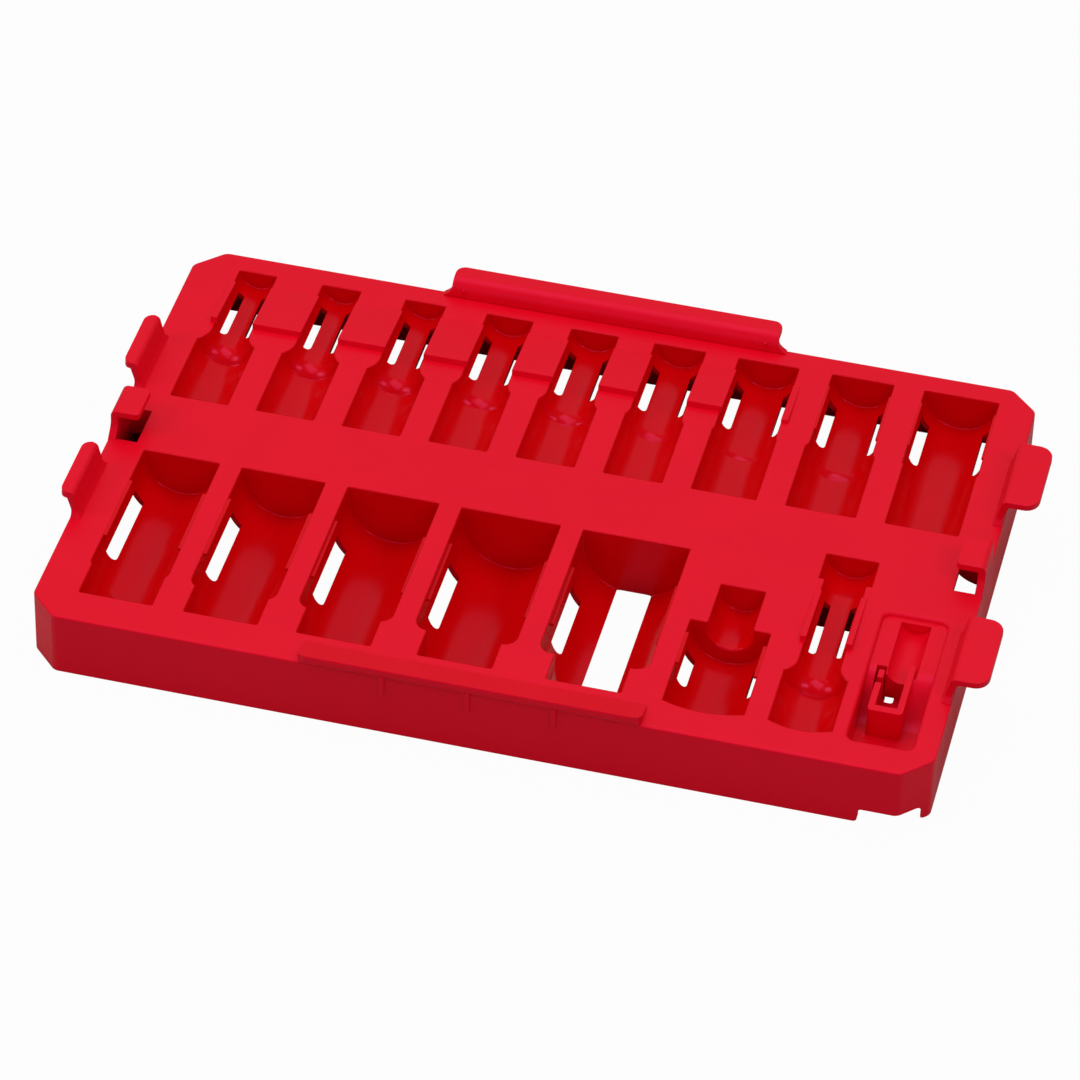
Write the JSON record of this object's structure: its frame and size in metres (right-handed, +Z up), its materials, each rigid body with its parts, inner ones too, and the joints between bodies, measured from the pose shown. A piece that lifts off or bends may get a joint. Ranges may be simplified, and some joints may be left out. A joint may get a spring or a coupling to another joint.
{
  "type": "socket organiser tray",
  "caption": "Red plastic lift-out tray with two rows of shaped pockets for deep sockets, an extension bar and adapters, with hook tabs on its sides and a rail behind.",
  "frame": {"origin": "middle of the part's footprint, on the plane of the rim it stands on", "axes": "+X across the tray to the right, +Y from the front edge to the rear rail, +Z up out of the pockets"},
  "size_m": [0.2832, 0.1872, 0.0299],
  "materials": {
    "red_satin": "satin, lightly textured",
    "red_gloss": "semi-gloss"
  },
  "bodies": {
    "tray": {"deck_left": "red_satin", "deck_right": "red_satin", "deck_middle": "red_satin", "deck_rear": "red_satin", "deck_front": "red_satin", "rear_web_1": "red_satin", "rear_web_2": "red_satin", "rear_web_3": "red_satin", "rear_web_4": "red_satin", "rear_web_5": "red_satin", "rear_web_6": "red_satin", "rear_web_7": "red_satin", "rear_web_8": "red_satin", "front_web_1": "red_satin", "front_web_2": "red_satin", "front_web_3": "red_satin", "front_web_4": "red_satin", "front_web_5": "red_satin", "front_web_6": "red_satin", "front_web_7": "red_satin", "front_wall": "red_satin", "rear_wall": "red_satin", "left_wall": "red_satin", "right_wall": "red_satin", "rear_pocket_1": "red_gloss", "rear_pocket_2": "red_gloss", "rear_pocket_3": "red_gloss", "rear_pocket_4": "red_gloss", "rear_pocket_5": "red_gloss", "rear_pocket_6": "red_gloss", "rear_pocket_7": "red_gloss", "rear_pocket_8": "red_gloss", "rear_pocket_9": "red_gloss", "front_pocket_1": "red_gloss", "front_pocket_2": "red_gloss", "front_pocket_3": "red_gloss", "front_pocket_4": "red_gloss", "front_pocket_5": "red_gloss", "swivel_pocket": "red_gloss", "extension_pocket": "red_gloss", "adapter_well": "red_gloss", "adapter_holder": "red_gloss", "rear_rail": "red_satin", "front_flange": "red_satin", "left_catch": "red_satin", "right_catch": "red_satin"},
    "finger": {"holder_finger": "red_gloss"},
    "left_front_tab_body": {"left_front_tab": "red_satin"},
    "left_rear_tab_body": {"left_rear_tab": "red_satin"},
    "right_front_tab_body": {"right_front_tab": "red_satin"},
    "right_rear_tab_body": {"right_rear_tab": "red_satin"}
  },
  "joints": [
    {"name": "left_front_tab_flex", "type": "hinge", "parent": "tray", "child": "left_front_tab_body", "pos_m": [-0.1364, -0.0355, 0.0213], "axis": [0, 1, 0], "range_deg": [-3, 3], "stiffness_Nm_per_rad": 3.4},
    {"name": "left_rear_tab_flex", "type": "hinge", "parent": "tray", "child": "left_rear_tab_body", "pos_m": [-0.1364, 0.0282, 0.0213], "axis": [0, 1, 0], "range_deg": [-3, 3], "stiffness_Nm_per_rad": 3.4},
    {"name": "right_front_tab_flex", "type": "hinge", "parent": "tray", "child": "right_front_tab_body", "pos_m": [0.13, -0.04395, 0.0213], "axis": [0, 1, 0], "range_deg": [-3, 3], "stiffness_Nm_per_rad": 4},
    {"name": "right_rear_tab_flex", "type": "hinge", "parent": "tray", "child": "right_rear_tab_body", "pos_m": [0.13, 0.03805, 0.0213], "axis": [0, 1, 0], "range_deg": [-3, 3], "stiffness_Nm_per_rad": 4},
    {"name": "holder_finger_flex", "type": "hinge", "parent": "tray", "child": "finger", "pos_m": [0.10927, -0.0504, 0.0122], "axis": [0, -1, 0], "range_deg": [0, 6], "stiffness_Nm_per_rad": 0.2}
  ]
}
